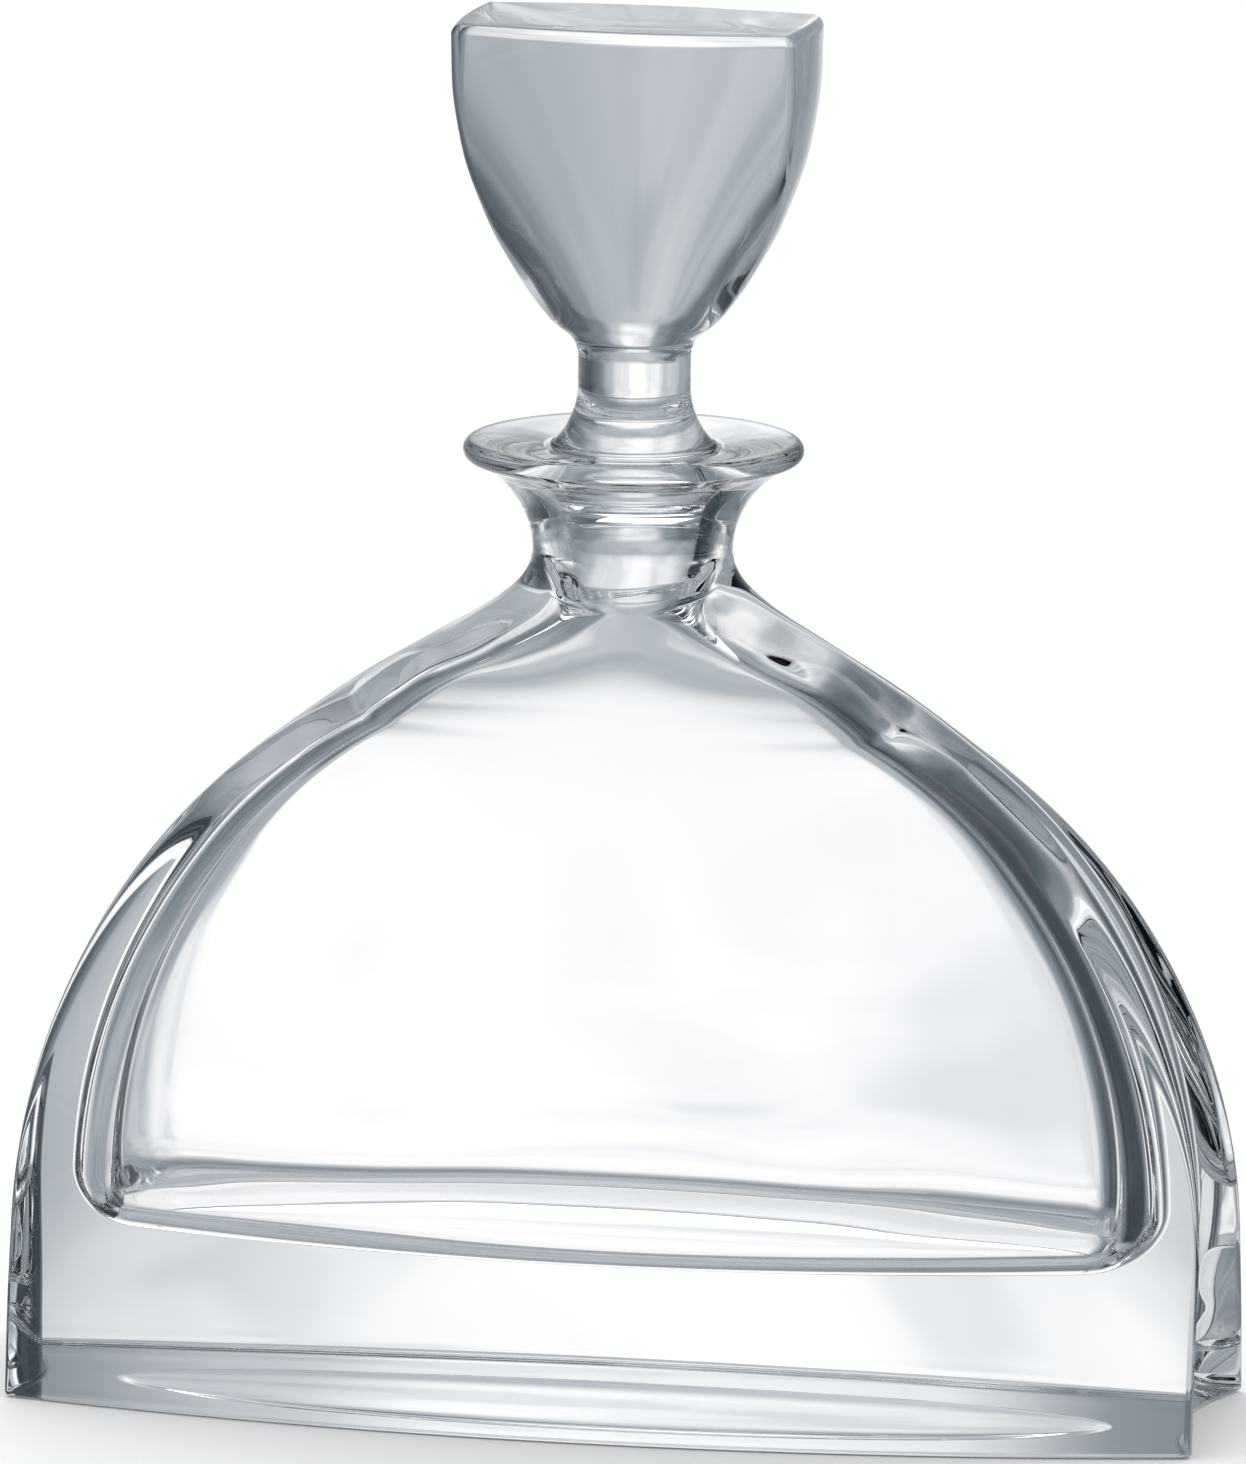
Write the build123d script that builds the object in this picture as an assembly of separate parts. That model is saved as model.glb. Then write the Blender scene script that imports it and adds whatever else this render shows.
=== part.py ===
"""Wine decanter: an arched flat glass bottle with a flared lip, and its lift-out glass stopper.

Frame: the origin is on the resting plane under the neck axis, +Z is up, the broad faces look
towards -Y and +Y, and the bottle's long side lies along X. All sizes are in millimetres.
"""
import os
from math import cos, hypot, radians, sin, sqrt

from build123d import *

# ---- bottle, outside -------------------------------------------------------------------------
ARCH_RADIUS = 108.0              # half the width: the front outline is an arch of this radius
ARCH_CENTRE_Z = 32.0             # below this height the narrow sides stand upright
SHOULDER_Z = 118.0               # here the arch leaves its circle and sweeps up into the neck
NECK_Z = 154.0                   # the narrowest place of the neck
NECK_RADIUS = 17.9
FOOT_BEVEL = 1.0                 # small bevel round the edge that the bottle stands on
FOOT_DISH = (88.0, 25.0, 1.8)    # half length, half width and depth of the oval dish underneath

# ---- bottle, inside --------------------------------------------------------------------------
CAVITY_RADIUS = 96.0
CAVITY_CENTRE_Z = 39.0
CAVITY_FLOOR_Z = 29.0
CAVITY_SHOULDER_Z = 122.0
CAVITY_EDGE = 9.0                # rounding between the cavity's floor and its walls
CAVITY_SWEEP = 20.0              # height over which the broad walls curve in to the floor
BORE_BOTTOM_Z = 145.0            # the ground taper of the mouth lies between these heights
BORE_TOP_Z = 163.5
BORE_BOTTOM_RADIUS = 10.2
BORE_TOP_RADIUS = 12.0

# ---- lip -------------------------------------------------------------------------------------
LIP_FLARE_RADIUS = 17.8          # the neck turns outwards into the lip on this radius
LIP_FLARE_ANGLE = 68.6           # degrees of that turn
LIP_EDGE = 2.0                   # radius of the lip's round edge
MOUTH_RADIUS = 15.9
MOUTH_Z = 173.2                  # the top of the lip dishes down to the mouth

# ---- stopper ---------------------------------------------------------------------------------
PLUG_CLEARANCE = 0.06            # radial gap of the ground joint
PLUG_BOTTOM_Z = 145.8
PLUG_EDGE = 1.2
BELL_RADIUS = 15.0               # the stem widens into a bell that fills the mouth
BELL_Z = 173.2
BELL_EDGE = 0.8
BELL_TOP_Z = 184.0
STEM_RADIUS = 10.1
STEM_TOP_Z = 190.0
STOPPER_TOP_Z = 250.0
TOP_EDGE = 2.2
TOP_DISH = (27.0, 13.0, 1.2)     # half length, half width and depth of the dish in its top

# ---- profiles: knots of (height, value), joined smoothly -------------------------------------
SHOULDER_HALF_WIDTH = ((118.0, 65.33), (129.4, 49.6), (137.9, 35.6), (145.1, 23.4), (154.0, 17.9))
HALF_DEPTH = ((0.0, 42.3), (12.0, 41.8), (30.0, 39.6), (60.0, 34.2), (90.0, 28.2), (120.0, 22.5),
              (137.0, 19.6), (146.0, 18.2), (154.0, 17.9))
RIM_ROUNDING = ((0.0, 1.2), (30.0, 1.3), (44.0, 1.8), (56.0, 3.2), (80.0, 6.6), (100.0, 9.0), (118.0, 11.0),
                (135.0, 12.6), (145.0, 15.2), (154.0, 17.3))
RIM_HALF_DEPTH = ((0.0, 27.6), (16.0, 26.0), (30.0, 23.3), (44.0, 20.2), (80.0, 12.2), (100.0, 8.2),
                  (118.0, 3.6), (135.0, 1.4), (154.0, 0.4))
COVE_RATIO = ((0.0, 0.21), (60.0, 0.2), (100.0, 0.08), (122.0, -0.05), (154.0, -0.3))
CAVITY_HALF_WIDTH = ((122.0, 48.0), (130.0, 36.5), (136.0, 24.5), (141.0, 15.5), (145.0, 10.2))
CAVITY_ROUNDING = ((29.0, 13.0), (80.0, 12.0), (118.0, 10.0), (135.0, 9.5), (145.0, 9.7))
CAVITY_SIDE_DEPTH = ((29.0, 8.0), (80.0, 4.2), (118.0, 2.2), (136.0, 1.0), (145.0, 0.3))
CAVITY_HALF_DEPTH = ((29.0, 34.0), (60.0, 28.8), (90.0, 22.8), (120.0, 17.1), (136.0, 13.6), (141.0, 11.6),
                     (145.0, 10.2))
HEAD_HALF_WIDTH = ((190.0, 10.1), (192.1, 10.7), (193.3, 11.6), (195.2, 14.2), (196.8, 15.7), (199.7, 17.9),
                   (203.5, 20.4), (214.0, 25.8), (228.0, 30.0), (240.0, 31.3), (250.0, 31.2))
HEAD_HALF_DEPTH = ((190.0, 10.1), (192.1, 10.6), (193.3, 11.3), (195.2, 12.8), (196.8, 13.5), (200.0, 14.1),
                   (220.0, 16.4), (250.0, 18.4))
HEAD_ROUNDING = ((190.0, 9.6), (196.5, 8.6), (210.0, 5.4), (225.0, 3.2), (250.0, 2.4))
HEAD_SIDE_DEPTH = ((190.0, 0.3), (196.5, 1.4), (210.0, 4.6), (225.0, 8.4), (250.0, 13.0))
HEAD_CONVEXITY = -0.06           # the head's narrow sides are slightly full
FACE_SPLIT = 37.0                # degrees from -Y at which a round section's arcs begin and end
SIDE_SPLIT = 57.0

# ---- heights at which each loft has a section --------------------------------------------------
BODY_HEIGHTS = (FOOT_BEVEL, 10, 20, 28, 35, 44, 56, 68, 80, 90, 100, 108, 114, 120, 125, 130, 135, 139, 143,
                147, 150.5)
CAVITY_HEIGHTS = (29, 29.7, 31.6, 34, 38, 43, 49, 58, 68, 80, 90, 100, 108, 115, 122, 126, 130, 134, 138, 141)
HEAD_HEIGHTS = (192.2, 193.3, 194.5, 195.7, 197.2, 199.5, 203, 207, 212, 218, 225, 232, 238, 243,
                STOPPER_TOP_Z - TOP_EDGE)
HEAD_RIM_HEIGHTS = (STOPPER_TOP_Z - TOP_EDGE, 248.9, 249.6, 249.9, STOPPER_TOP_Z)


def smooth(knots, z):
    """Value at height z of a curve through the knots that never overshoots between them."""
    heights = [knot[0] for knot in knots]
    values = [knot[1] for knot in knots]
    if z <= heights[0]:
        return values[0]
    if z >= heights[-1]:
        return values[-1]
    spans = [heights[i + 1] - heights[i] for i in range(len(knots) - 1)]
    rises = [(values[i + 1] - values[i]) / spans[i] for i in range(len(knots) - 1)]
    slopes = [rises[0]]
    for before, after in zip(rises, rises[1:]):
        slopes.append(2 * before * after / (before + after) if before * after > 0 else 0.0)
    slopes.append(rises[-1])
    i = max(k for k in range(len(spans)) if heights[k] <= z)
    t = (z - heights[i]) / spans[i]
    start = (1 + 2 * t) * (1 - t) ** 2 * values[i] + t * (1 - t) ** 2 * spans[i] * slopes[i]
    end = t * t * (3 - 2 * t) * values[i + 1] + t * t * (t - 1) * spans[i] * slopes[i + 1]
    return start + end


def section(half_width, half_depth, rounding, side_depth, cove, z):
    """Closed outline at height z: two bowed faces and two narrow sides, joined by four tangent arcs.

    half_width and half_depth are its greatest extents, rounding is the radius of the four arcs,
    side_depth is half the length of a narrow side, and cove is how far that side is hollowed
    (a negative cove bulges).
    """
    corner_x = half_width - rounding
    bow = half_depth - rounding - side_depth
    face_radius = (corner_x ** 2 + bow ** 2) / (2 * bow)
    face_centre_y = face_radius - (half_depth - rounding)
    side_radius = -(side_depth ** 2 + cove ** 2) / (2 * cove)
    side_centre_x = corner_x - cove - side_radius
    face_normal = (corner_x / face_radius, (-side_depth - face_centre_y) / face_radius)
    side_normal = ((corner_x - side_centre_x) / side_radius, -side_depth / side_radius)
    middle = (face_normal[0] + side_normal[0], face_normal[1] + side_normal[1])
    length = hypot(*middle)
    normals = (face_normal, (middle[0] / length, middle[1] / length), side_normal)
    on_face, on_round, on_side = [
        (corner_x + rounding * n[0], -side_depth + rounding * n[1]) for n in normals
    ]
    side_x = half_width - cove

    def at(point, flip_x=1, flip_y=1):
        return Vector(flip_x * point[0], flip_y * point[1], z)

    quarter = [
        (at(on_face, -1), at((0, -half_depth)), at(on_face)),
        (at(on_face), at(on_round), at(on_side)),
        (at(on_side), at((side_x, 0)), at(on_side, 1, -1)),
        (at(on_side, 1, -1), at(on_round, 1, -1), at(on_face, 1, -1)),
        (at(on_face, 1, -1), at((0, -half_depth), 1, -1), at(on_face, -1, -1)),
        (at(on_face, -1, -1), at(on_round, -1, -1), at(on_side, -1, -1)),
        (at(on_side, -1, -1), at((side_x, 0), -1), at(on_side, -1)),
        (at(on_side, -1), at(on_round, -1), at(on_face, -1)),
    ]
    return Wire([Edge.make_three_point_arc(*points) for points in quarter])


def bottle_section(z, inset=0.0):
    """Outside outline of the bottle at height z, from the foot to the neck, drawn in by inset."""
    if z <= ARCH_CENTRE_Z:
        half_width = ARCH_RADIUS
    elif z <= SHOULDER_Z:
        half_width = sqrt(ARCH_RADIUS ** 2 - (z - ARCH_CENTRE_Z) ** 2)
    else:
        half_width = smooth(SHOULDER_HALF_WIDTH, z)
    side_depth = smooth(RIM_HALF_DEPTH, z)
    cove = side_depth * smooth(COVE_RATIO, z)
    half_depth = smooth(HALF_DEPTH, z) - inset
    return section(half_width - inset, half_depth, smooth(RIM_ROUNDING, z) - inset, side_depth, cove, z)


def cavity_section(z):
    """Outline of the hollow inside at height z, drawn in towards the floor by its rounded edge."""
    if z <= CAVITY_CENTRE_Z:
        half_width = CAVITY_RADIUS
    elif z <= CAVITY_SHOULDER_Z:
        half_width = sqrt(CAVITY_RADIUS ** 2 - (z - CAVITY_CENTRE_Z) ** 2)
    else:
        half_width = smooth(CAVITY_HALF_WIDTH, z)
    below = max(0.0, CAVITY_FLOOR_Z + CAVITY_EDGE - z)
    inset = CAVITY_EDGE - sqrt(CAVITY_EDGE ** 2 - below ** 2)
    share_below = max(0.0, 1 - (z - CAVITY_FLOOR_Z) / CAVITY_SWEEP)
    sweep = CAVITY_EDGE * (1 - sqrt(1 - share_below ** 2))
    side_depth = smooth(CAVITY_SIDE_DEPTH, z)
    half_depth = smooth(CAVITY_HALF_DEPTH, z) - sweep
    rounding = smooth(CAVITY_ROUNDING, z) - inset
    return section(half_width - inset, half_depth, rounding, side_depth, -0.2 * side_depth, z)


def head_section(z):
    """Outline of the stopper's head at height z, drawn in by the rounded edge of its top."""
    above = max(0.0, z - (STOPPER_TOP_Z - TOP_EDGE))
    inset = TOP_EDGE - sqrt(TOP_EDGE ** 2 - above ** 2)
    side_depth = smooth(HEAD_SIDE_DEPTH, z)
    half_depth = smooth(HEAD_HALF_DEPTH, z) - inset
    rounding = smooth(HEAD_ROUNDING, z) - inset
    return section(smooth(HEAD_HALF_WIDTH, z) - inset, half_depth, rounding, side_depth,
                   HEAD_CONVEXITY * side_depth, z)


def round_section(radius, z):
    """A circle at height z in eight arcs that follow on from those of a section."""
    first, second = FACE_SPLIT, SIDE_SPLIT
    right_side = [-first, first, second, 180 - second, 180 - first]
    left_side = [180 + first, 180 + second, 360 - second, 360 - first]
    ends = right_side + left_side

    def at(angle):
        return Vector(radius * sin(radians(angle)), -radius * cos(radians(angle)), z)

    arcs = [Edge.make_three_point_arc(at(a), at((a + b) / 2), at(b)) for a, b in zip(ends, ends[1:])]
    return Wire(arcs)


def turned(edges):
    """Solid of revolution about Z from the edges of a half profile in the XZ plane."""
    return Solid.revolve(Face(Wire(edges)), 360, Axis.Z)


def line(start, end):
    """Straight edge in the XZ plane."""
    return Edge.make_line((start[0], 0, start[1]), (end[0], 0, end[1]))


def tangent_arc(start, direction, end):
    """Arc in the XZ plane that leaves start along direction and reaches end."""
    ends = [(point[0], 0, point[1]) for point in (start, direction, end)]
    return Edge.make_tangent_arc(*ends)


def arc(centre, radius, first, last):
    """Arc in the XZ plane between two angles in degrees, measured from +X towards +Z."""
    points = []
    for angle in (first, (first + last) / 2, last):
        turn = radians(angle)
        points.append((centre[0] + radius * cos(turn), 0, centre[1] + radius * sin(turn)))
    return Edge.make_three_point_arc(*points)


def dish(half_length, half_width, depth, z):
    """Flattened ball whose middle plane is at height z, for hollowing a flat face."""
    return scale(Sphere(1), by=(half_length, half_width, depth)).moved(Location((0, 0, z)))


def bottle():
    """The one-piece glass bottle: foot, arched body, neck and lip, with its cavity and ground mouth."""
    sections = [bottle_section(z) for z in BODY_HEIGHTS] + [round_section(NECK_RADIUS, NECK_Z)]
    body = Solid.make_loft(sections)
    foot = Solid.make_loft([bottle_section(0, FOOT_BEVEL), bottle_section(FOOT_BEVEL)], ruled=True)

    flare_centre = (NECK_RADIUS + LIP_FLARE_RADIUS, NECK_Z)
    turn = radians(LIP_FLARE_ANGLE)
    flare_end = (flare_centre[0] - LIP_FLARE_RADIUS * cos(turn), NECK_Z + LIP_FLARE_RADIUS * sin(turn))
    edge_centre = (flare_end[0] - LIP_EDGE * cos(turn), flare_end[1] + LIP_EDGE * sin(turn))
    lip_top = (edge_centre[0], edge_centre[1] + LIP_EDGE)
    mouth = (MOUTH_RADIUS, MOUTH_Z)
    neck = turned([
        line((0, NECK_Z), (NECK_RADIUS, NECK_Z)),
        arc(flare_centre, LIP_FLARE_RADIUS, 180, 180 - LIP_FLARE_ANGLE),
        arc(edge_centre, LIP_EDGE, -LIP_FLARE_ANGLE, 90),
        tangent_arc(lip_top, (-1, 0), mouth),
        line(mouth, (0, MOUTH_Z)),
        line((0, MOUTH_Z), (0, NECK_Z)),
    ])

    cavity_sections = [cavity_section(z) for z in CAVITY_HEIGHTS]
    cavity = Solid.make_loft(cavity_sections + [round_section(BORE_BOTTOM_RADIUS, BORE_BOTTOM_Z)])
    bore_top = (BORE_TOP_RADIUS, BORE_TOP_Z)
    taper = (BORE_TOP_RADIUS - BORE_BOTTOM_RADIUS, BORE_TOP_Z - BORE_BOTTOM_Z)
    bore = turned([
        line((0, BORE_BOTTOM_Z), (BORE_BOTTOM_RADIUS, BORE_BOTTOM_Z)),
        line((BORE_BOTTOM_RADIUS, BORE_BOTTOM_Z), bore_top),
        tangent_arc(bore_top, taper, mouth),
        line(mouth, (0, MOUTH_Z)),
        line((0, MOUTH_Z), (0, BORE_BOTTOM_Z)),
    ])
    return foot + body + neck - (cavity + bore) - dish(*FOOT_DISH, 0)


def stopper():
    """The one-piece glass stopper: ground plug, bell, stem and broad flat head."""
    taper = (BORE_TOP_RADIUS - BORE_BOTTOM_RADIUS) / (BORE_TOP_Z - BORE_BOTTOM_Z)
    plug_top = (BORE_TOP_RADIUS - PLUG_CLEARANCE, BORE_TOP_Z)
    plug_bottom_radius = plug_top[0] - taper * (BORE_TOP_Z - PLUG_BOTTOM_Z)
    plug_low = (plug_bottom_radius + taper * PLUG_EDGE, PLUG_BOTTOM_Z + PLUG_EDGE)
    plug_end = (plug_bottom_radius - PLUG_EDGE, PLUG_BOTTOM_Z)
    bell_low = (BELL_RADIUS, BELL_Z)
    bell_high = (BELL_RADIUS - BELL_EDGE, BELL_Z + BELL_EDGE)
    stem_low = (STEM_RADIUS, BELL_TOP_Z)
    stem_top = (STEM_RADIUS, STEM_TOP_Z)
    post = turned([
        line((0, PLUG_BOTTOM_Z), plug_end),
        tangent_arc(plug_end, (1, 0), plug_low),
        line(plug_low, plug_top),
        tangent_arc(plug_top, (taper, 1), bell_low),
        tangent_arc(bell_low, (0, 1), bell_high),
        tangent_arc(stem_low, (0, -1), bell_high),
        line(stem_low, stem_top),
        line(stem_top, (0, STEM_TOP_Z)),
        line((0, STEM_TOP_Z), (0, PLUG_BOTTOM_Z)),
    ])
    head_sections = [head_section(z) for z in HEAD_HEIGHTS]
    head = Solid.make_loft([round_section(STEM_RADIUS, STEM_TOP_Z)] + head_sections)
    rim = Solid.make_loft([head_section(z) for z in HEAD_RIM_HEIGHTS])
    return post + head + rim - dish(*TOP_DISH, STOPPER_TOP_Z)


os.makedirs("parts", exist_ok=True)
export_step(bottle(), "parts/bottle.step")
export_step(stopper(), "parts/stopper.step")
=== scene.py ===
"""Looks of the wine decanter: clear crystal bottle and stopper on a pale studio floor.

Both glass pieces are closed meshes, built ring by ring from the same outlines as the CAD solids. The
profiles below are in millimetres, as in the CAD, and the meshes are in metres.
"""
from math import atan2, cos, hypot, pi, radians, sin, sqrt

import bmesh
import bpy
from mathutils import Matrix, Vector, noise


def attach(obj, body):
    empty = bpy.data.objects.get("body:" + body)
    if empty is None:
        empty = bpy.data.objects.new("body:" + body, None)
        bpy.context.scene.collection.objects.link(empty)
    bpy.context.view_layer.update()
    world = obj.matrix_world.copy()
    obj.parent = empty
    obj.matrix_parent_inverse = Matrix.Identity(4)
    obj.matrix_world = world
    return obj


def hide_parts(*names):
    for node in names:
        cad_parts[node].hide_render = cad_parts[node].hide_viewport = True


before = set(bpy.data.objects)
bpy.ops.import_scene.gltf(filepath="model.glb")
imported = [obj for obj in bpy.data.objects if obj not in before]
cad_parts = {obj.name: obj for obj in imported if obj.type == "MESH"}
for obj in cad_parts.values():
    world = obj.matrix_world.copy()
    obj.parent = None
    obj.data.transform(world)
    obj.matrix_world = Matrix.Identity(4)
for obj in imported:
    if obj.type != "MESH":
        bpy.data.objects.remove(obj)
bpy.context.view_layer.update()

MM = 0.001

# ---- bottle, outside (mm) ----------------------------------------------------------------------
ARCH_RADIUS = 108.0
ARCH_CENTRE_Z = 32.0
SHOULDER_Z = 118.0
NECK_Z = 154.0
NECK_RADIUS = 17.9
FOOT_EDGE = 1.0
DISH_HALF_LENGTH = 88.0
DISH_HALF_WIDTH = 25.0
DISH_DEPTH = 1.8

# ---- bottle, inside ----------------------------------------------------------------------------
CAVITY_RADIUS = 96.0
CAVITY_CENTRE_Z = 39.0
CAVITY_FLOOR_Z = 29.0
CAVITY_SHOULDER_Z = 122.0
CAVITY_EDGE = 9.0
CAVITY_SWEEP = 20.0
WAVE_LENGTH = 42.0
WAVE_DEPTH = 0.02
WAVE_FADE_BELOW_SHOULDER = 30.0
WAVE_FADE_ABOVE_FLOOR = 12.0
BORE_BOTTOM_Z = 145.0
BORE_TOP_Z = 163.5
BORE_BOTTOM_RADIUS = 10.2
BORE_TOP_RADIUS = 12.0

# ---- lip ---------------------------------------------------------------------------------------
LIP_FLARE_RADIUS = 17.8
LIP_FLARE_ANGLE = 68.6
LIP_EDGE = 2.0
MOUTH_RADIUS = 15.9
MOUTH_Z = 173.2
MOUTH_EDGE = 0.5

# ---- stopper -----------------------------------------------------------------------------------
PLUG_CLEARANCE = 0.06
PLUG_BOTTOM_Z = 145.8
PLUG_EDGE = 1.2
BELL_RADIUS = 15.0
BELL_Z = 173.2
BELL_EDGE = 0.8
BELL_TOP_Z = 184.0
STEM_RADIUS = 10.1
STEM_TOP_Z = 190.0
STOPPER_TOP_Z = 250.0
TOP_EDGE = 2.2
TOP_DISH_DEPTH = 1.2

# ---- profiles: knots of (height, value) --------------------------------------------------------
# The shoulder is eased into the neck here, at most 1 mm off the CAD solid between 140 and 153 mm.
SHOULDER_HALF_WIDTH = ((118.0, 65.33), (129.4, 49.6), (137.9, 35.6), (144.6, 24.6), (149.4, 19.5),
                       (152.4, 18.1), (154.0, 17.9))
HALF_DEPTH = ((0.0, 42.3), (12.0, 41.8), (30.0, 39.6), (60.0, 34.2), (90.0, 28.2), (120.0, 22.5),
              (137.0, 19.6), (146.0, 18.2), (154.0, 17.9))
RIM_ROUNDING = ((0.0, 1.2), (30.0, 1.3), (44.0, 1.8), (56.0, 3.2), (80.0, 6.6), (100.0, 9.0), (118.0, 11.0),
                (135.0, 12.6), (145.0, 15.2), (154.0, 17.3))
RIM_HALF_DEPTH = ((0.0, 27.6), (16.0, 26.0), (30.0, 23.3), (44.0, 20.2), (80.0, 12.2), (100.0, 8.2),
                  (118.0, 3.6), (135.0, 1.4), (154.0, 0.4))
COVE_RATIO = ((0.0, 0.21), (60.0, 0.2), (100.0, 0.08), (122.0, -0.05), (154.0, -0.3))
CAVITY_HALF_WIDTH = ((122.0, 48.0), (130.0, 36.5), (136.0, 24.5), (141.0, 15.5), (145.0, 10.2))
CAVITY_ROUNDING = ((29.0, 13.0), (80.0, 12.0), (118.0, 10.0), (135.0, 9.5), (145.0, 9.7))
CAVITY_SIDE_DEPTH = ((29.0, 8.0), (80.0, 4.2), (118.0, 2.2), (136.0, 1.0), (145.0, 0.3))
CAVITY_HALF_DEPTH = ((29.0, 34.0), (60.0, 28.8), (90.0, 22.8), (120.0, 17.1), (136.0, 13.6), (141.0, 11.6),
                     (145.0, 10.2))
HEAD_HALF_WIDTH = ((190.0, 10.1), (192.1, 10.7), (193.3, 11.6), (195.2, 14.2), (196.8, 15.7), (199.7, 17.9),
                   (203.5, 20.4), (214.0, 25.8), (228.0, 30.0), (240.0, 31.3), (250.0, 31.2))
HEAD_HALF_DEPTH = ((190.0, 10.1), (192.1, 10.6), (193.3, 11.3), (195.2, 12.8), (196.8, 13.5), (200.0, 14.1),
                   (220.0, 16.4), (250.0, 18.4))
HEAD_ROUNDING = ((190.0, 9.6), (196.5, 8.6), (210.0, 5.4), (225.0, 3.2), (250.0, 2.4))
HEAD_SIDE_DEPTH = ((190.0, 0.3), (196.5, 1.4), (210.0, 4.6), (225.0, 8.4), (250.0, 13.0))
HEAD_CONVEXITY = -0.06

# ---- mesh density: points along each arc of a ring ---------------------------------------------
FACE_POINTS = 72
ROUND_POINTS = 14
SIDE_POINTS = 26
FACE_SPLIT = 37.0
SIDE_SPLIT = 57.0


def smooth(knots, z):
    """Value at height z of a curve through the knots that never overshoots between them."""
    heights = [knot[0] for knot in knots]
    values = [knot[1] for knot in knots]
    if z <= heights[0]:
        return values[0]
    if z >= heights[-1]:
        return values[-1]
    spans = [heights[i + 1] - heights[i] for i in range(len(knots) - 1)]
    rises = [(values[i + 1] - values[i]) / spans[i] for i in range(len(knots) - 1)]
    slopes = [rises[0]]
    for before, after in zip(rises, rises[1:]):
        slopes.append(2 * before * after / (before + after) if before * after > 0 else 0.0)
    slopes.append(rises[-1])
    i = max(k for k in range(len(spans)) if heights[k] <= z)
    t = (z - heights[i]) / spans[i]
    start = (1 + 2 * t) * (1 - t) ** 2 * values[i] + t * (1 - t) ** 2 * spans[i] * slopes[i]
    end = t * t * (3 - 2 * t) * values[i + 1] + t * t * (t - 1) * spans[i] * slopes[i + 1]
    return start + end


def spread(start, stop, steps):
    """Evenly spaced values from start to stop, both included."""
    return [start + (stop - start) * i / steps for i in range(steps + 1)]


# ---- rings -------------------------------------------------------------------------------------
def arc_points(centre, radius, first, last, steps):
    """Points on an arc about centre, without its last one; a negative radius turns the other way."""
    points = []
    for i in range(steps):
        angle = first + (last - first) * i / steps
        points.append((centre[0] + radius * cos(angle), centre[1] + radius * sin(angle)))
    return points


def section_ring(half_width, half_depth, rounding, side_depth, cove, z):
    """Closed ring of points on the eight-arc outline that the CAD's section has."""
    corner_x = half_width - rounding
    bow = half_depth - rounding - side_depth
    face_radius = (corner_x ** 2 + bow ** 2) / (2 * bow)
    face_centre = (0.0, face_radius - (half_depth - rounding))
    side_radius = -(side_depth ** 2 + cove ** 2) / (2 * cove)
    side_centre = (corner_x - cove - side_radius, 0.0)
    face_angle = atan2(-side_depth - face_centre[1], corner_x)
    side_angle = atan2(-side_depth / side_radius, (corner_x - side_centre[0]) / side_radius)
    half_face = arc_points(face_centre, face_radius + rounding, -pi / 2, face_angle, FACE_POINTS // 2)
    corner = arc_points((corner_x, -side_depth), rounding, face_angle, side_angle, ROUND_POINTS)
    half_side = arc_points(side_centre, side_radius + rounding,
                           atan2(-side_depth, corner_x - side_centre[0]) if side_radius > 0
                           else atan2(side_depth, side_centre[0] - corner_x),
                           0.0, SIDE_POINTS // 2)
    quarter = half_face + corner + half_side
    return quarter_to_ring(quarter, (half_width - cove, 0.0), z)


def quarter_to_ring(quarter, end, z):
    """Mirrors a quarter outline, from the front's middle to the right side's middle, into a ring."""
    front_right = quarter
    back_right = [(x, -y) for x, y in reversed(quarter[1:])]
    middle_back = [(quarter[0][0], -quarter[0][1])]
    back_left = [(-x, -y) for x, y in quarter[1:]]
    front_left = [(-x, y) for x, y in reversed(quarter[1:])]
    outline = front_right + [end] + back_right + middle_back + back_left + [(-end[0], -end[1])] + front_left
    return [Vector((x, y, z)) for x, y in outline]


def round_ring(radius, z):
    """Circle whose points carry on the columns of a section ring."""
    first, second = radians(FACE_SPLIT), radians(SIDE_SPLIT)
    quarter = arc_points((0, 0), radius, -pi / 2, -pi / 2 + first, FACE_POINTS // 2)
    quarter += arc_points((0, 0), radius, -pi / 2 + first, -pi / 2 + second, ROUND_POINTS)
    quarter += arc_points((0, 0), radius, -pi / 2 + second, 0.0, SIDE_POINTS // 2)
    return quarter_to_ring(quarter, (radius, 0.0), z)


def mixed_ring(ring_a, ring_b, t):
    """Ring a share t of the way from ring_a to ring_b."""
    return [a.lerp(b, t) for a, b in zip(ring_a, ring_b)]


def turned_rings(profile):
    """Round rings for a list of (radius, height)."""
    return [round_ring(radius, z) for radius, z in profile]


def arc_profile(centre, radius, first, last, steps):
    """(radius, height) points on an arc, from one angle in degrees to another."""
    angles = [radians(a) for a in spread(first, last, steps)]
    return [(centre[0] + radius * cos(a), centre[1] + radius * sin(a)) for a in angles]


def tangent_profile(start, direction, end, steps):
    """(radius, height) points on the arc that leaves start along direction and reaches end."""
    length = hypot(*direction)
    normal = (-direction[1] / length, direction[0] / length)
    chord = (end[0] - start[0], end[1] - start[1])
    side = chord[0] * normal[0] + chord[1] * normal[1]
    radius = (chord[0] ** 2 + chord[1] ** 2) / (2 * side)
    centre = (start[0] + normal[0] * radius, start[1] + normal[1] * radius)
    first = atan2(start[1] - centre[1], start[0] - centre[0])
    last = atan2(end[1] - centre[1], end[0] - centre[0])
    while last - first > pi:
        last -= 2 * pi
    while first - last > pi:
        last += 2 * pi
    return [(centre[0] + abs(radius) * cos(a), centre[1] + abs(radius) * sin(a))
            for a in spread(first, last, steps)]


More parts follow.
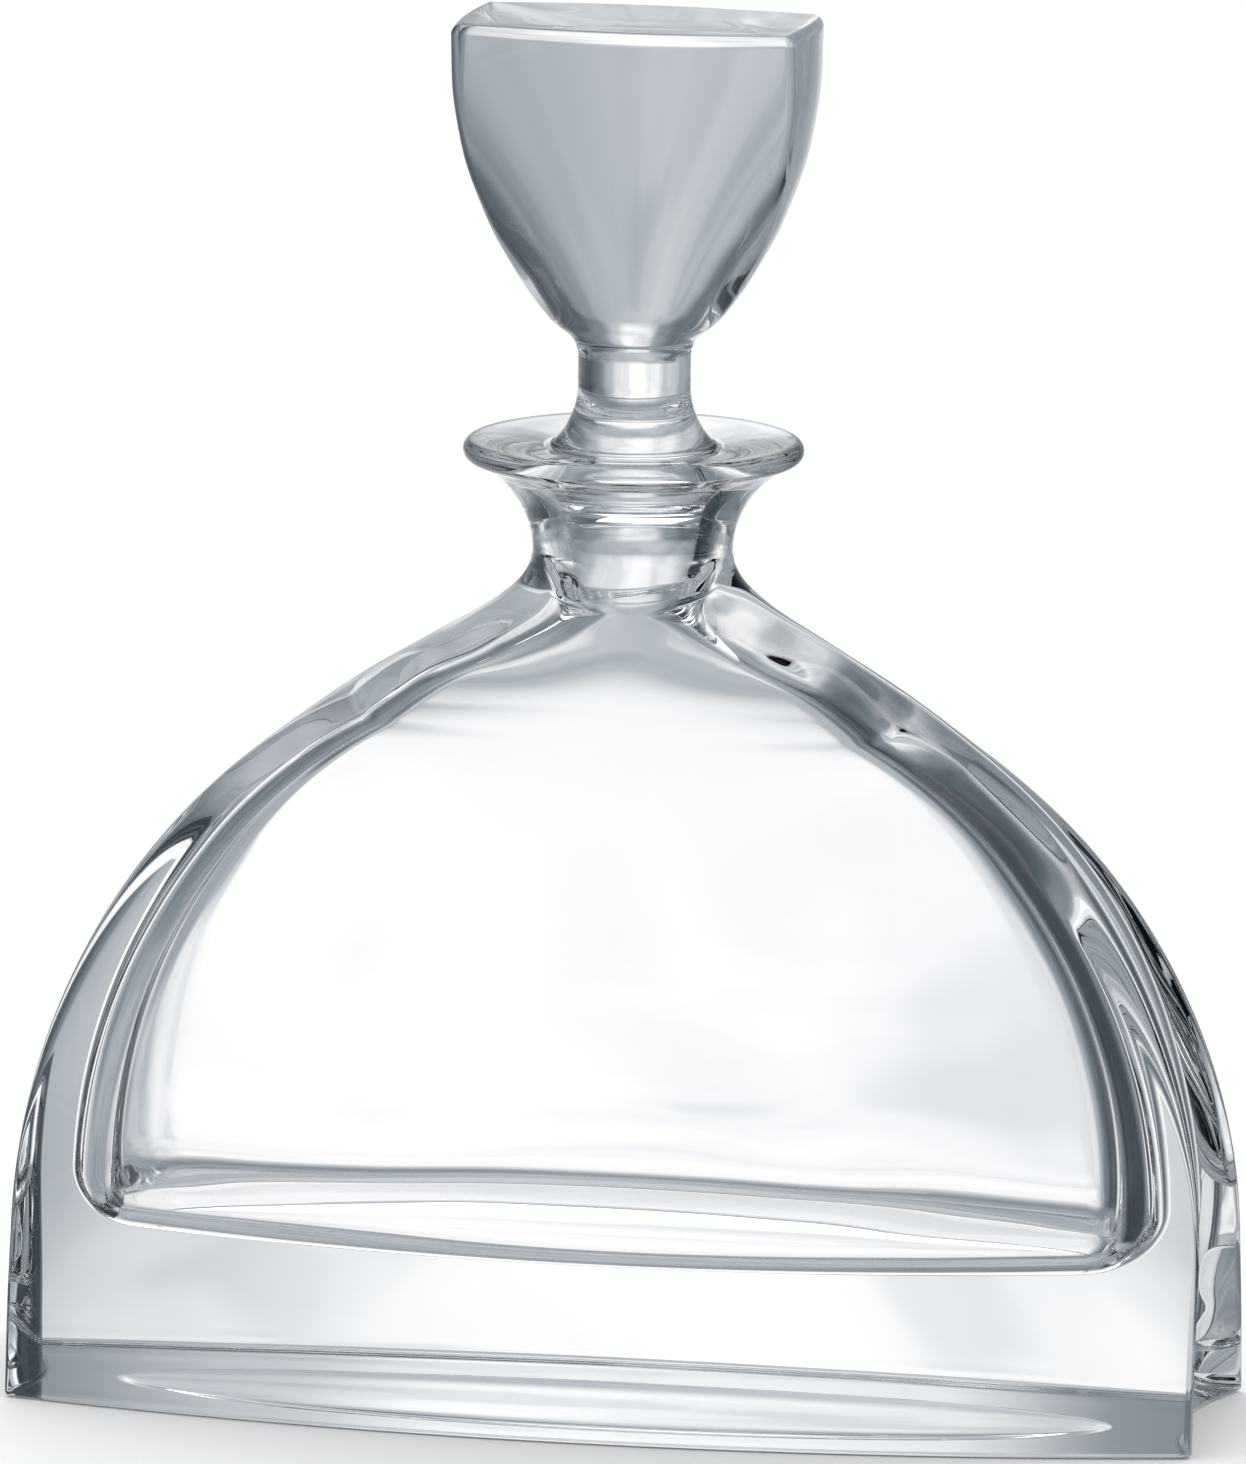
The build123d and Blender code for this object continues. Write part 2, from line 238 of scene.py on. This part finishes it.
# ---- outlines by height ------------------------------------------------------------------------
def bottle_ring(z, inset=0.0):
    """Outside of the bottle at height z."""
    if z <= ARCH_CENTRE_Z:
        half_width = ARCH_RADIUS
    elif z <= SHOULDER_Z:
        half_width = sqrt(ARCH_RADIUS ** 2 - (z - ARCH_CENTRE_Z) ** 2)
    else:
        half_width = smooth(SHOULDER_HALF_WIDTH, z)
    side_depth = smooth(RIM_HALF_DEPTH, z)
    cove = side_depth * smooth(COVE_RATIO, z)
    rounding = smooth(RIM_ROUNDING, z) - inset
    return section_ring(half_width - inset, smooth(HALF_DEPTH, z) - inset, rounding, side_depth, cove, z)


def cavity_ring(z):
    """Inside of the bottle at height z."""
    if z <= CAVITY_CENTRE_Z:
        half_width = CAVITY_RADIUS
    elif z <= CAVITY_SHOULDER_Z:
        half_width = sqrt(CAVITY_RADIUS ** 2 - (z - CAVITY_CENTRE_Z) ** 2)
    else:
        half_width = smooth(CAVITY_HALF_WIDTH, z)
    below = max(0.0, CAVITY_FLOOR_Z + CAVITY_EDGE - z)
    inset = CAVITY_EDGE - sqrt(max(0.0, CAVITY_EDGE ** 2 - below ** 2))
    share_below = min(1.0, max(0.0, 1 - (z - CAVITY_FLOOR_Z) / CAVITY_SWEEP))
    sweep = CAVITY_EDGE * (1 - sqrt(1 - share_below ** 2))
    side_depth = smooth(CAVITY_SIDE_DEPTH, z)
    half_depth = smooth(CAVITY_HALF_DEPTH, z) - sweep
    rounding = smooth(CAVITY_ROUNDING, z) - inset
    ring = section_ring(half_width - inset, half_depth, rounding, side_depth, -0.2 * side_depth, z)
    below_shoulder = max(0.0, (CAVITY_SHOULDER_Z - z) / WAVE_FADE_BELOW_SHOULDER)
    above_floor = max(0.0, (z - CAVITY_FLOOR_Z) / WAVE_FADE_ABOVE_FLOOR)
    fade = min(1.0, below_shoulder, above_floor)
    return [wavy(point, fade) for point in ring]


def wavy(point, fade):
    """Point of the cavity's wall, moved in or out a little, as the inside of a blown wall is never flat."""
    swell = noise.noise(point / WAVE_LENGTH) + 0.5 * noise.noise(point / (0.5 * WAVE_LENGTH))
    return Vector((point.x, point.y * (1 + WAVE_DEPTH * fade * swell), point.z))


def head_ring(z):
    """Stopper's head at height z."""
    above = max(0.0, z - (STOPPER_TOP_Z - TOP_EDGE))
    inset = TOP_EDGE - sqrt(max(0.0, TOP_EDGE ** 2 - above ** 2))
    side_depth = smooth(HEAD_SIDE_DEPTH, z)
    half_depth = smooth(HEAD_HALF_DEPTH, z) - inset
    rounding = smooth(HEAD_ROUNDING, z) - inset
    return section_ring(smooth(HEAD_HALF_WIDTH, z) - inset, half_depth, rounding, side_depth,
                        HEAD_CONVEXITY * side_depth, z)


# ---- meshes ------------------------------------------------------------------------------------
def closed_mesh(name, rings, first_pole, last_pole):
    """Closed smooth mesh through the rings, with a fan of triangles at each pole."""
    mesh = bpy.data.meshes.new(name)
    build = bmesh.new()
    rows = [[build.verts.new(point * MM) for point in ring] for ring in rings]
    count = len(rows[0])
    for lower, upper in zip(rows, rows[1:]):
        for i in range(count):
            j = (i + 1) % count
            build.faces.new((lower[i], lower[j], upper[j], upper[i]))
    for pole, row in ((first_pole, rows[0]), (last_pole, rows[-1])):
        tip = build.verts.new(pole * MM)
        for i in range(count):
            build.faces.new((tip, row[i], row[(i + 1) % count]))
    bmesh.ops.recalc_face_normals(build, faces=build.faces)
    for face in build.faces:
        face.smooth = True
    build.to_mesh(mesh)
    build.free()
    piece = bpy.data.objects.new(name, mesh)
    bpy.context.scene.collection.objects.link(piece)
    return piece


def foot_rings():
    """Rings of the underside, from the middle of its oval dish out to the foot's rounded edge."""
    rim = bottle_ring(0.0, FOOT_EDGE)
    rings = []
    for share in (0.04, 0.1, 0.2, 0.3, 0.4, 0.5, 0.6, 0.7, 0.78, 0.85, 0.9, 0.94, 0.97, 0.99, 1.0):
        ring = []
        for point in rim:
            angle = atan2(point.y / DISH_HALF_WIDTH, point.x / DISH_HALF_LENGTH)
            x = share * DISH_HALF_LENGTH * cos(angle)
            y = share * DISH_HALF_WIDTH * sin(angle)
            ring.append(Vector((x, y, DISH_DEPTH * sqrt(max(0.0, 1 - share ** 2)))))
        rings.append(ring)
    oval = rings[-1]
    rings += [mixed_ring(oval, rim, t) for t in (0.03, 0.2, 0.4, 0.6, 0.8, 0.97)]
    for angle in spread(0, 90, 8):
        turn = radians(angle)
        ring = bottle_ring(0.0, FOOT_EDGE * (1 - sin(turn)))
        for point in ring:
            point.z = FOOT_EDGE * (1 - cos(turn))
        rings.append(ring)
    return rings


def lip_rings():
    """Rings of the neck's flare, the lip's round edge, its dished top and the mouth down to the bore."""
    turn = radians(LIP_FLARE_ANGLE)
    flare_centre = (NECK_RADIUS + LIP_FLARE_RADIUS, NECK_Z)
    flare_end = (flare_centre[0] - LIP_FLARE_RADIUS * cos(turn), NECK_Z + LIP_FLARE_RADIUS * sin(turn))
    edge_centre = (flare_end[0] - LIP_EDGE * cos(turn), flare_end[1] + LIP_EDGE * sin(turn))
    lip_top = (edge_centre[0], edge_centre[1] + LIP_EDGE)
    mouth = (MOUTH_RADIUS, MOUTH_Z)
    flare = arc_profile(flare_centre, LIP_FLARE_RADIUS, 180, 180 - LIP_FLARE_ANGLE, 36)
    edge = arc_profile(edge_centre, LIP_EDGE, -LIP_FLARE_ANGLE, 90, 20)
    top = tangent_profile(lip_top, (-1, 0), mouth, 16)
    taper = (BORE_TOP_RADIUS - BORE_BOTTOM_RADIUS, BORE_TOP_Z - BORE_BOTTOM_Z)
    funnel = tangent_profile((BORE_TOP_RADIUS, BORE_TOP_Z), taper, mouth, 16)[::-1]
    bore = [(BORE_BOTTOM_RADIUS + taper[0] * t, BORE_BOTTOM_Z + taper[1] * t) for t in spread(1, 0, 12)]
    corner = rounded(top[-2], mouth, funnel[1], MOUTH_EDGE)
    return turned_rings(flare[1:] + edge[1:] + top[1:-1] + corner + funnel[1:] + bore[1:])


def rounded(before, corner, after, reach):
    """Replaces a sharp corner of a profile by five points on a short curve through its neighbourhood."""
    def toward(point):
        dx, dz = point[0] - corner[0], point[1] - corner[1]
        length = hypot(dx, dz)
        return (corner[0] + dx / length * reach, corner[1] + dz / length * reach)

    start, end = toward(before), toward(after)
    points = []
    for t in spread(0, 1, 6):
        weights = ((1 - t) ** 2, 2 * t * (1 - t), t ** 2)
        points.append(tuple(weights[0] * s + weights[1] * c + weights[2] * e
                            for s, c, e in zip(start, corner, end)))
    return points


def make_bottle():
    """The glass bottle as one closed skin: foot, body, neck, lip, mouth, cavity and cavity floor."""
    rings = foot_rings()
    rings += [bottle_ring(z) for z in spread(FOOT_EDGE, 118.0, 117)[1:]]
    rings += [bottle_ring(z) for z in spread(118.0, NECK_Z - 0.5, 50)[1:]]
    rings += [round_ring(NECK_RADIUS, NECK_Z)]
    rings += lip_rings()
    rings += [cavity_ring(z) for z in spread(BORE_BOTTOM_Z - 0.6, 118.0, 40)]
    rings += [cavity_ring(z) for z in spread(118.0, CAVITY_FLOOR_Z + CAVITY_EDGE, 80)[1:]]
    for angle in spread(0, 88, 16)[1:]:
        rings.append(cavity_ring(CAVITY_FLOOR_Z + CAVITY_EDGE * (1 - sin(radians(angle)))))
    floor = rings[-1]
    middle = [Vector((0, 0, point.z)) for point in floor]
    rings += [mixed_ring(floor, middle, t) for t in (0.01, 0.05, 0.12, 0.25, 0.4, 0.55, 0.7, 0.85, 0.95)]
    return closed_mesh("bottle_glass_skin", rings, Vector((0, 0, DISH_DEPTH)), middle[0])


def make_stopper():
    """The glass stopper as one closed skin: plug, bell, stem and head."""
    taper = (BORE_TOP_RADIUS - BORE_BOTTOM_RADIUS) / (BORE_TOP_Z - BORE_BOTTOM_Z)
    plug_top = (BORE_TOP_RADIUS - PLUG_CLEARANCE, BORE_TOP_Z)
    plug_bottom_radius = plug_top[0] - taper * (BORE_TOP_Z - PLUG_BOTTOM_Z)
    plug_low = (plug_bottom_radius + taper * PLUG_EDGE, PLUG_BOTTOM_Z + PLUG_EDGE)
    plug_end = (plug_bottom_radius - PLUG_EDGE, PLUG_BOTTOM_Z)
    bell_low = (BELL_RADIUS, BELL_Z)
    bell_high = (BELL_RADIUS - BELL_EDGE, BELL_Z + BELL_EDGE)
    stem_low = (STEM_RADIUS, BELL_TOP_Z)
    profile = [(plug_end[0] * t, PLUG_BOTTOM_Z) for t in (0.1, 0.3, 0.5, 0.7, 0.9, 0.98)]
    profile += tangent_profile(plug_end, (1, 0), plug_low, 8)
    profile += [(plug_low[0] + (plug_top[0] - plug_low[0]) * t, plug_low[1] + (plug_top[1] - plug_low[1]) * t)
                for t in spread(0, 1, 14)[1:]]
    profile += tangent_profile(plug_top, (taper, 1), bell_low, 16)[1:]
    profile += tangent_profile(bell_low, (0, 1), bell_high, 6)[1:]
    profile += tangent_profile(stem_low, (0, -1), bell_high, 20)[::-1][1:]
    profile += [(STEM_RADIUS, z) for z in spread(BELL_TOP_Z, STEM_TOP_Z, 8)[1:]]
    rings = turned_rings(profile)
    rings += [head_ring(z) for z in spread(STEM_TOP_Z + 0.3, STOPPER_TOP_Z - TOP_EDGE, 90)]
    for angle in spread(0, 88, 12)[1:]:
        rings.append(head_ring(STOPPER_TOP_Z - TOP_EDGE + TOP_EDGE * sin(radians(angle))))
    rim = rings[-1]
    for t in (0.01, 0.04, 0.1, 0.2, 0.3, 0.4, 0.5, 0.6, 0.7, 0.8, 0.9, 0.97):
        drop = TOP_DISH_DEPTH * (1 - (1 - t) ** 2) ** 1.5
        rings.append([Vector((point.x * (1 - t), point.y * (1 - t), point.z - drop)) for point in rim])
    top = Vector((0, 0, STOPPER_TOP_Z - TOP_DISH_DEPTH))
    return closed_mesh("stopper_glass_skin", rings, Vector((0, 0, PLUG_BOTTOM_Z)), top)


# ---- materials ---------------------------------------------------------------------------------
def crystal(name):
    """Clear crystal with a faint waviness."""
    material = bpy.data.materials.new(name)
    material.use_nodes = True
    nodes, links = material.node_tree.nodes, material.node_tree.links
    shader = nodes["Principled BSDF"]
    shader.inputs["Base Color"].default_value = (0.985, 0.987, 0.992, 1)
    shader.inputs["Transmission Weight"].default_value = 1.0
    shader.inputs["IOR"].default_value = 1.53
    shader.inputs["Roughness"].default_value = 0.0
    place = nodes.new("ShaderNodeTexCoord")
    wave = nodes.new("ShaderNodeTexNoise")
    wave.inputs["Scale"].default_value = 22.0
    wave.inputs["Detail"].default_value = 1.0
    links.new(place.outputs["Object"], wave.inputs["Vector"])
    bump = nodes.new("ShaderNodeBump")
    bump.inputs["Strength"].default_value = 0.04
    bump.inputs["Distance"].default_value = 0.002
    links.new(wave.outputs["Fac"], bump.inputs["Height"])
    links.new(bump.outputs["Normal"], shader.inputs["Normal"])
    return material


def floor_material():
    """Pale matt studio floor with a barely visible mottle."""
    material = bpy.data.materials.new("studio_floor")
    material.use_nodes = True
    nodes, links = material.node_tree.nodes, material.node_tree.links
    shader = nodes["Principled BSDF"]
    shader.inputs["Roughness"].default_value = 0.6
    mottle = nodes.new("ShaderNodeTexNoise")
    mottle.inputs["Scale"].default_value = 3.0
    tone = add_ramp(nodes, [(0.3, 0.88), (0.7, 0.91)])
    links.new(mottle.outputs["Fac"], tone.inputs["Fac"])
    links.new(tone.outputs["Color"], shader.inputs["Base Color"])
    return material


# ---- studio ------------------------------------------------------------------------------------
# Greys that the glass sees, by bearing in degrees: 0 is straight behind the object, 90 to its right and
# 180 in front of it. The lit table and backdrop stand behind it, a little to the left. BAND_EDGES are the
# sines of the elevations between which one band passes into the next, from the lowest up.
UNDER_BAND = ((-180, 0.48), (-90, 0.45), (-30, 0.30), (0, 0.22), (60, 0.30), (120, 0.48), (180, 0.48))
TABLE_BAND = ((-180, 0.45), (-140, 0.40), (-110, 0.34), (-75, 0.34), (-58, 0.42), (-46, 0.55), (-34, 0.62),
              (-26, 0.88), (-14, 1.0), (-5, 0.92), (1, 0.72), (7, 0.42), (18, 0.16), (32, 0.04), (90, 0.03),
              (112, 0.22), (128, 0.62), (150, 0.62), (180, 0.45))
HORIZON_BAND = ((-180, 0.40), (-140, 0.34), (-90, 0.42), (-60, 0.26), (-42, 0.36), (-30, 0.44), (-19, 0.54),
                (-8, 0.46), (2, 0.40), (12, 0.28), (24, 0.14), (40, 0.05), (92, 0.05), (120, 0.38),
                (145, 0.50), (180, 0.40))
BACKDROP_BAND = ((-180, 0.40), (-90, 0.30), (-60, 0.18), (-34, 0.14), (-25, 0.28), (-19, 0.80), (-8, 0.92),
                 (-3, 0.55), (5, 0.22), (18, 0.10), (34, 0.04), (92, 0.04), (125, 0.30), (180, 0.40))
CEILING_BAND = ((-180, 0.30), (-70, 0.30), (-35, 0.18), (-12, 0.40), (6, 0.35), (30, 0.06), (92, 0.05),
                (125, 0.25), (180, 0.30))
BANDS = (UNDER_BAND, TABLE_BAND, HORIZON_BAND, BACKDROP_BAND, CEILING_BAND)
BAND_EDGES = ((-0.80, -0.62), (-0.17, -0.08), (0.10, 0.20), (0.40, 0.75))
PATCH_SCALE = 6.5
PATCH_TONES = ((0.36, 0.80), (0.50, 0.94), (0.64, 1.0))
SURROUNDINGS_STRENGTH = 1.18
BACKGROUND_STRENGTH = 1.2


def cool(grey):
    """Grey of the studio's surroundings, slightly blue where it is dark."""
    return (grey ** 1.10, grey ** 1.01, grey ** 0.94, 1.0)


def add_ramp(nodes, stops):
    """Colour ramp node through (position, grey) stops."""
    ramp = nodes.new("ShaderNodeValToRGB")
    ramp.color_ramp.interpolation = "EASE"
    elements = ramp.color_ramp.elements
    elements[0].position, elements[1].position = stops[0][0], stops[-1][0]
    elements[0].color, elements[1].color = cool(stops[0][1]), cool(stops[-1][1])
    for position, grey in stops[1:-1]:
        elements.new(position).color = cool(grey)
    return ramp


def add_math(nodes, links, operation, *values):
    """Math node whose inputs are sockets or numbers."""
    node = nodes.new("ShaderNodeMath")
    node.operation = operation
    for socket, value in zip(node.inputs, values):
        if isinstance(value, (int, float)):
            socket.default_value = value
        else:
            links.new(value, socket)
    return node.outputs[0]


def add_step(nodes, links, value, low, high):
    """Smooth step of a socket's value from 0 at low to 1 at high."""
    step = nodes.new("ShaderNodeMapRange")
    step.interpolation_type = "SMOOTHSTEP"
    step.inputs["From Min"].default_value = low
    step.inputs["From Max"].default_value = high
    links.new(value, step.inputs["Value"])
    return step.outputs["Result"]


def add_mix(nodes, links, factor, first, second):
    """Colour mix of two sockets."""
    mix = nodes.new("ShaderNodeMix")
    mix.data_type = "RGBA"
    links.new(factor, mix.inputs["Factor"])
    links.new(first, mix.inputs["A"])
    links.new(second, mix.inputs["B"])
    return mix.outputs["Result"]


def add_floor():
    """Pale floor that the camera sees; the glass sees the drawn surroundings instead."""
    mesh = bpy.data.meshes.new("floor")
    build = bmesh.new()
    bmesh.ops.create_grid(build, x_segments=8, y_segments=8, size=12.0)
    build.to_mesh(mesh)
    build.free()
    floor = bpy.data.objects.new("floor", mesh)
    floor.location.z = -0.0002
    floor.visible_transmission = False
    floor.visible_glossy = False
    mesh.materials.append(floor_material())
    bpy.context.scene.collection.objects.link(floor)


def add_softbox(name, place, target, size, power):
    """Rectangular area light aimed at a point."""
    light = bpy.data.lights.new(name, "AREA")
    light.shape = "RECTANGLE"
    light.size, light.size_y = size
    light.energy = power
    lamp = bpy.data.objects.new(name, light)
    lamp.location = place
    lamp.rotation_euler = (Vector(target) - Vector(place)).to_track_quat("-Z", "Y").to_euler()
    bpy.context.scene.collection.objects.link(lamp)


def add_world():
    """Studio surroundings for the glass to bend: a lit backdrop among darker walls. The camera sees white."""
    world = bpy.data.worlds.new("studio")
    bpy.context.scene.world = world
    world.use_nodes = True
    nodes, links = world.node_tree.nodes, world.node_tree.links
    place = nodes.new("ShaderNodeTexCoord")
    split = nodes.new("ShaderNodeSeparateXYZ")
    links.new(place.outputs["Generated"], split.inputs["Vector"])
    bearing = add_math(nodes, links, "ARCTAN2", split.outputs["X"], split.outputs["Y"])
    share = add_math(nodes, links, "MULTIPLY_ADD", bearing, 0.5 / pi, 0.5)
    bands = []
    for stops in BANDS:
        ramp = add_ramp(nodes, [((angle + 180) / 360, grey) for angle, grey in stops])
        links.new(share, ramp.inputs["Fac"])
        bands.append(ramp.outputs["Color"])
    colour = bands[0]
    for band, (low, high) in zip(bands[1:], BAND_EDGES):
        step = add_step(nodes, links, split.outputs["Z"], low, high)
        colour = add_mix(nodes, links, step, colour, band)
    patches = nodes.new("ShaderNodeTexNoise")
    patches.inputs["Scale"].default_value = PATCH_SCALE
    patches.inputs["Detail"].default_value = 2.0
    links.new(place.outputs["Generated"], patches.inputs["Vector"])
    patch_tone = add_ramp(nodes, PATCH_TONES)
    links.new(patches.outputs["Fac"], patch_tone.inputs["Fac"])
    tint = nodes.new("ShaderNodeMix")
    tint.data_type = "RGBA"
    tint.blend_type = "MULTIPLY"
    tint.inputs["Factor"].default_value = 1.0
    links.new(colour, tint.inputs["A"])
    links.new(patch_tone.outputs["Color"], tint.inputs["B"])
    colour = tint.outputs["Result"]
    surroundings = nodes["Background"]
    surroundings.inputs["Strength"].default_value = SURROUNDINGS_STRENGTH
    links.new(colour, surroundings.inputs["Color"])
    plain = nodes.new("ShaderNodeBackground")
    plain.inputs["Color"].default_value = (1, 1, 1, 1)
    plain.inputs["Strength"].default_value = BACKGROUND_STRENGTH
    path = nodes.new("ShaderNodeLightPath")
    seen_plain = add_math(nodes, links, "MAXIMUM", path.outputs["Is Camera Ray"],
                          path.outputs["Is Diffuse Ray"])
    choice = nodes.new("ShaderNodeMixShader")
    links.new(seen_plain, choice.inputs["Fac"])
    links.new(surroundings.outputs["Background"], choice.inputs[1])
    links.new(plain.outputs["Background"], choice.inputs[2])
    links.new(choice.outputs["Shader"], nodes["World Output"].inputs["Surface"])


def add_camera():
    """Long lens from the front right, a little above, as fitted to the photograph."""
    azimuth, elevation, roll = radians(11.0), radians(10.72), radians(0.56)
    distance = 3.293
    side_shift = -0.0014
    aim_height = 0.1211
    forward = Vector((-sin(azimuth) * cos(elevation), cos(azimuth) * cos(elevation), -sin(elevation)))
    right = Vector((cos(azimuth), sin(azimuth), 0))
    up = right.cross(forward)
    turned_right = right * cos(roll) + up * sin(roll)
    turned_up = up * cos(roll) - right * sin(roll)
    aim = Vector((0, 0, aim_height)) + right * side_shift
    lens = bpy.data.cameras.new("camera")
    lens.sensor_width = 36.0
    lens.lens = 452.9
    lens.clip_end = 100.0
    camera = bpy.data.objects.new("camera", lens)
    axes = Matrix((turned_right, turned_up, -forward)).transposed()
    camera.matrix_world = Matrix.Translation(aim - forward * distance) @ axes.to_4x4()
    bpy.context.scene.collection.objects.link(camera)
    bpy.context.scene.camera = camera


add_camera()
add_floor()
add_world()
add_softbox("top_softbox", (-0.3, 0.6, 2.2), (0, 0, 0.1), (1.4, 1.4), 10)

bottle = make_bottle()
bottle.data.materials.append(crystal("bottle_crystal"))
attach(bottle, "bottle_body")
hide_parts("bottle")

stopper = make_stopper()
stopper.data.materials.append(crystal("stopper_crystal"))
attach(stopper, "stopper_body")
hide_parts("stopper")

scene = bpy.context.scene
scene.cycles.max_bounces = 32
scene.cycles.transmission_bounces = 28
scene.cycles.glossy_bounces = 12
scene.view_settings.view_transform = "Standard"
